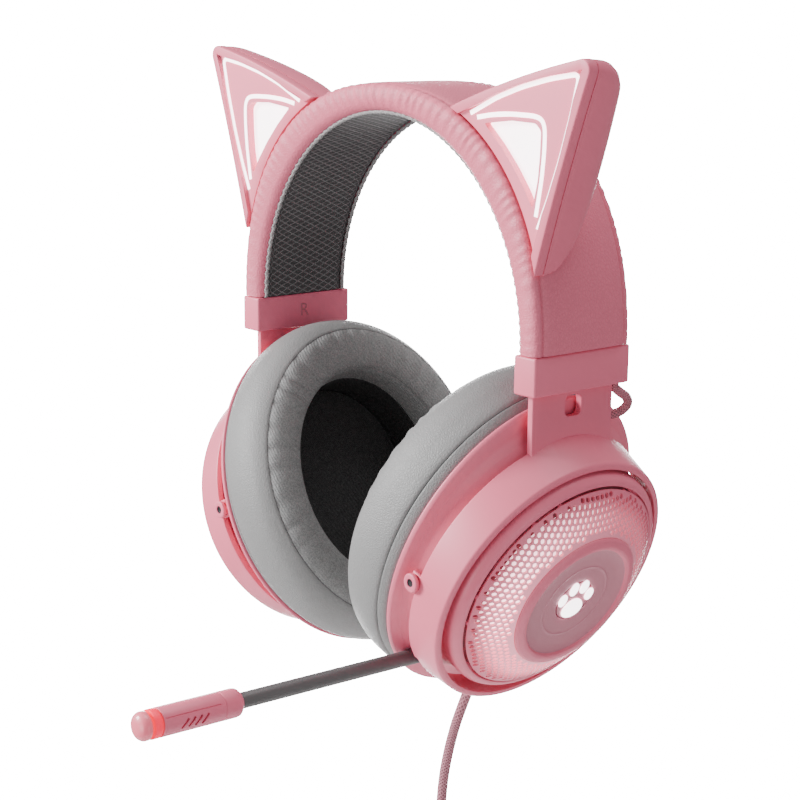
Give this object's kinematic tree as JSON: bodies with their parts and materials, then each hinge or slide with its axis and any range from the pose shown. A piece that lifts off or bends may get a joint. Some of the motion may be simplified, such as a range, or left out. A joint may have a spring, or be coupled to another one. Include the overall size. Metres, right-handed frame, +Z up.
{
  "type": "gaming headset",
  "caption": "Over-ear gaming headset with cat ears on the headband, lit ear outlines, sliding yokes, tilting oval cups, a pull-out microphone and a braided USB cord.",
  "frame": {"origin": "middle of the underside of the headband's lining at its highest point, where a head or a hook carries the headset", "axes": "+Z up; -Y the way the wearer faces; +X the wearer's left, the side with the microphone and the cord"},
  "size_m": [0.1848, 0.1879, 0.3759],
  "materials": {
    "pink_shell": "satin moulded plastic",
    "pink_leather": "fine-grained leatherette",
    "pink_gloss": "glossy plastic",
    "grey_leather": "soft leatherette over foam",
    "grey_mesh": "padded open mesh",
    "black_cloth": "thin acoustic cloth",
    "dark_rubber": "matt",
    "light_guide": "translucent, lit from behind",
    "red_light": "translucent red, lit",
    "steel": "plain",
    "circuit": "circuit board",
    "dark_plastic": "black moulded frame",
    "foam": "open-cell foam",
    "braid": "woven sleeve"
  },
  "bodies": {
    "headband": {"headband_cover": "pink_leather", "headband_lining": "grey_mesh", "headband_foam": "foam", "headband_spring": "steel", "end_cap_left": "pink_shell", "end_cap_right": "pink_shell", "ear_frame_left": "pink_shell", "ear_frame_right": "pink_shell", "ear_light_guide_left": "light_guide", "ear_light_guide_right": "light_guide", "ear_light_board_left": "circuit", "ear_light_board_right": "circuit", "ear_back_left": "pink_shell", "ear_back_right": "pink_shell"},
    "slider_left": {"yoke_left": "pink_shell", "pivot_pin_front_left": "steel", "pivot_pin_back_left": "steel", "jumper_cable_left": "braid"},
    "cup_left": {"cup_housing_left": "pink_shell", "cup_bezel_left": "pink_shell", "grille_left": "pink_shell", "hub_left": "pink_shell", "hub_light_left": "light_guide", "light_ring_left": "circuit", "baffle_left": "dark_rubber", "driver_left": "dark_plastic", "driver_cloth_left": "black_cloth", "ear_cushion_left": "grey_leather", "control_board": "circuit", "cord_gland": "dark_rubber", "cord": "braid", "cord_coil": "braid", "cord_tail": "braid", "cord_tie": "dark_rubber", "usb_plug_grip": "dark_rubber", "usb_plug_shell": "steel"},
    "slider_right": {"yoke_right": "pink_shell", "pivot_pin_front_right": "steel", "pivot_pin_back_right": "steel", "jumper_cable_right": "braid"},
    "cup_right": {"cup_housing_right": "pink_shell", "cup_bezel_right": "pink_shell", "grille_right": "pink_shell", "hub_right": "pink_shell", "hub_light_right": "light_guide", "light_ring_right": "circuit", "baffle_right": "dark_rubber", "driver_right": "dark_plastic", "driver_cloth_right": "black_cloth", "ear_cushion_right": "grey_leather"},
    "microphone": {"mic_boom": "dark_rubber", "mic_capsule": "pink_shell", "mic_mute_light": "red_light"},
    "mute_button": {"mic_mute_button": "pink_gloss"},
    "volume_up_button": {"volume_up": "pink_gloss"},
    "volume_down_button": {"volume_down": "pink_gloss"}
  },
  "joints": [
    {"name": "slide_left", "type": "slide", "parent": "headband", "child": "slider_left", "axis": [0, 0, -1], "range_m": [0, 0.024], "deforming": ["jumper_cable_left"]},
    {"name": "tilt_left", "type": "hinge", "parent": "slider_left", "child": "cup_left", "pos_m": [0.05093, 0, -0.1379], "axis": [0, -1, 0], "range_deg": [0, 3]},
    {"name": "slide_right", "type": "slide", "parent": "headband", "child": "slider_right", "axis": [0, 0, -1], "range_m": [0, 0.024], "deforming": ["jumper_cable_right"]},
    {"name": "tilt_right", "type": "hinge", "parent": "slider_right", "child": "cup_right", "pos_m": [-0.05093, 0, -0.1379], "axis": [0, 1, 0], "range_deg": [0, 3]},
    {"name": "microphone_slide", "type": "slide", "parent": "cup_left", "child": "microphone", "axis": [-0.0149, 0.9993, -0.0354], "range_m": [0, 0.034]},
    {"name": "mute_press", "type": "slide", "parent": "microphone", "child": "mute_button", "axis": [-0.0149, 0.9993, -0.0354], "range_m": [0, 0.0007], "stiffness_N_per_m": 600},
    {"name": "volume_up_press", "type": "slide", "parent": "cup_left", "child": "volume_up_button", "axis": [0.1458, -0.9272, 0.3451], "range_m": [0, 0.0008], "stiffness_N_per_m": 600},
    {"name": "volume_down_press", "type": "slide", "parent": "cup_left", "child": "volume_down_button", "axis": [0.2396, -0.788, 0.5671], "range_m": [0, 0.0008], "stiffness_N_per_m": 600}
  ]
}
